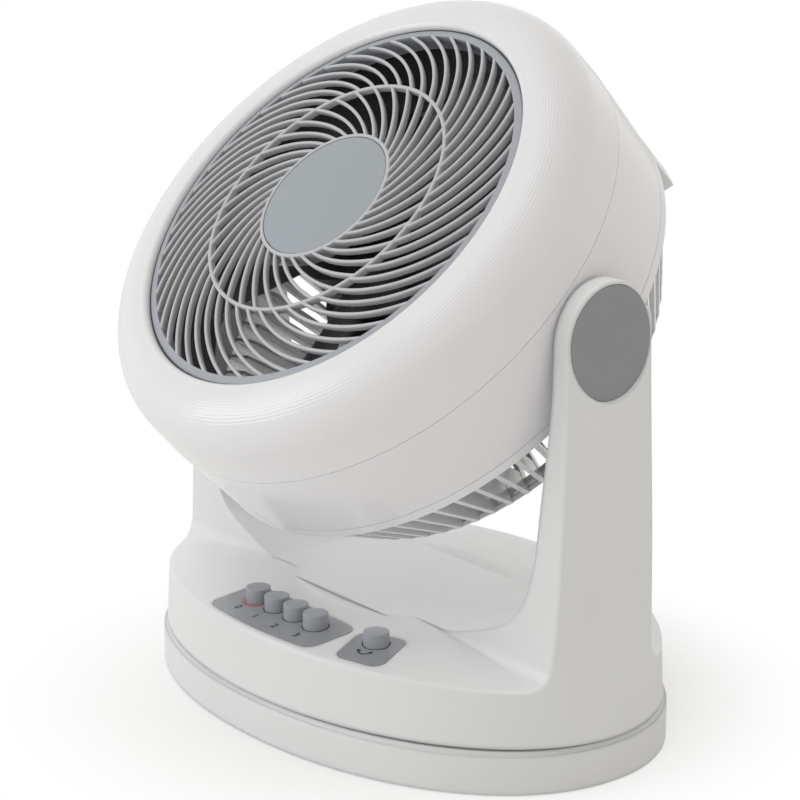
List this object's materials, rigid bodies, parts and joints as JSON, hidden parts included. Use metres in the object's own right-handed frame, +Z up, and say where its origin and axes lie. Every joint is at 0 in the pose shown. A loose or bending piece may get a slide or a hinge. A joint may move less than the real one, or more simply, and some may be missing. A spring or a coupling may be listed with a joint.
{
  "type": "air circulator fan",
  "caption": "Tabletop air circulator: a round fan head tilts between the arms of a yoke that swings on an oval base, with push buttons on the deck.",
  "frame": {"origin": "on the surface that the fan stands on, in the middle of the base, on the axis that the yoke swings about", "axes": "+Z up, -Y toward the front where the buttons are, +X to the right seen from the front"},
  "size_m": [0.344, 0.2849, 0.3816],
  "materials": {
    "shell_white": "smooth glossy moulded plastic",
    "body_white": "smooth satin moulded plastic",
    "panel_grey": "smooth glossy moulded plastic",
    "cap_grey": "satin moulded plastic",
    "button_grey": "satin moulded plastic with a rounded top",
    "grille_grey": "satin moulded plastic",
    "badge_grey": "satin moulded plastic, left bare",
    "fan_charcoal": "satin dark moulded plastic",
    "ring_red": "glossy printed ring",
    "foot_rubber": "matt rubber",
    "screw_steel": "zinc plated",
    "core_steel": "laminated steel",
    "bracket_aluminium": "die cast",
    "winding_copper": "enamelled copper wire",
    "gear_nylon": "natural nylon",
    "switch_black": "matt moulded plastic",
    "capacitor_film": "matt plastic can",
    "bearing_bronze": "sintered bronze"
  },
  "bodies": {
    "base": {"base_shell": "body_white", "base_plate": "body_white", "foot_ring": "foot_rubber", "base_screws": "screw_steel", "swivel_post": "screw_steel", "thrust_ring": "gear_nylon", "swing_gear": "gear_nylon", "spindle_retainer": "screw_steel", "cord_gland": "switch_black"},
    "yoke": {"yoke_housing": "body_white", "yoke_floor": "body_white", "yoke_screws": "screw_steel", "swivel_bush": "gear_nylon", "swing_motor": "bracket_aluminium", "capacitor": "capacitor_film", "button_panel": "panel_grey", "swing_panel": "panel_grey", "stop_ring": "ring_red", "speed_switch": "switch_black", "swing_switch": "switch_black", "pivot_cap_right": "cap_grey", "pivot_cap_left": "cap_grey"},
    "swing_pinion": {"swing_pinion": "gear_nylon"},
    "button_0": {"button_0": "button_grey"},
    "button_1": {"button_1": "button_grey"},
    "button_2": {"button_2": "button_grey"},
    "button_3": {"button_3": "button_grey"},
    "swing_button": {"swing_button": "button_grey"},
    "head": {"front_shell": "shell_white", "rear_shell": "shell_white", "front_grille": "grille_grey", "badge_disc": "badge_grey", "rear_grille": "shell_white", "carry_handle": "shell_white", "grille_screws": "screw_steel", "motor_screws": "screw_steel", "motor_front_bracket": "bracket_aluminium", "motor_rear_bracket": "bracket_aluminium", "motor_bearings": "bearing_bronze", "stator_core": "core_steel", "stator_windings": "winding_copper", "trunnion_right": "bracket_aluminium", "trunnion_left": "bracket_aluminium", "friction_washer_right": "gear_nylon", "friction_washer_left": "gear_nylon", "pivot_screw_right": "screw_steel", "pivot_screw_left": "screw_steel"},
    "fan": {"fan_wheel": "fan_charcoal", "fan_nut": "fan_charcoal", "motor_shaft": "screw_steel", "rotor_core": "core_steel"}
  },
  "joints": [
    {"name": "swing", "type": "hinge", "parent": "base", "child": "yoke", "pos_m": [0, 0, 0.0252], "axis": [0, 0, 1], "range_deg": [-45, 45]},
    {"name": "pinion_turn", "type": "hinge", "parent": "yoke", "child": "swing_pinion", "pos_m": [0, 0.045, 0.044], "axis": [0, 0, 1], "range_deg": [-180, 180]},
    {"name": "tilt", "type": "hinge", "parent": "yoke", "child": "head", "pos_m": [0, 0, 0.2315], "axis": [-1, 0, 0], "range_deg": [-52, 44.5]},
    {"name": "fan_spin", "type": "hinge", "parent": "head", "child": "fan", "pos_m": [0, 0, 0.2315], "axis": [0, -0.7009, 0.7133], "continuous": true},
    {"name": "press_0", "type": "slide", "parent": "yoke", "child": "button_0", "axis": [0, 0, -1], "range_m": [0, 0.003], "stiffness_N_per_m": 400, "springref_m": -0.001},
    {"name": "press_1", "type": "slide", "parent": "yoke", "child": "button_1", "axis": [0, 0, -1], "range_m": [0, 0.003], "stiffness_N_per_m": 400, "springref_m": -0.001},
    {"name": "press_2", "type": "slide", "parent": "yoke", "child": "button_2", "axis": [0, 0, -1], "range_m": [0, 0.003], "stiffness_N_per_m": 400, "springref_m": -0.001},
    {"name": "press_3", "type": "slide", "parent": "yoke", "child": "button_3", "axis": [0, 0, -1], "range_m": [0, 0.003], "stiffness_N_per_m": 400, "springref_m": -0.001},
    {"name": "press_swing", "type": "slide", "parent": "yoke", "child": "swing_button", "axis": [0, 0, -1], "range_m": [0, 0.003], "stiffness_N_per_m": 400, "springref_m": -0.001}
  ],
  "couplings": [
    {"joint": "pinion_turn", "follows": "swing", "ratio": 4}
  ]
}
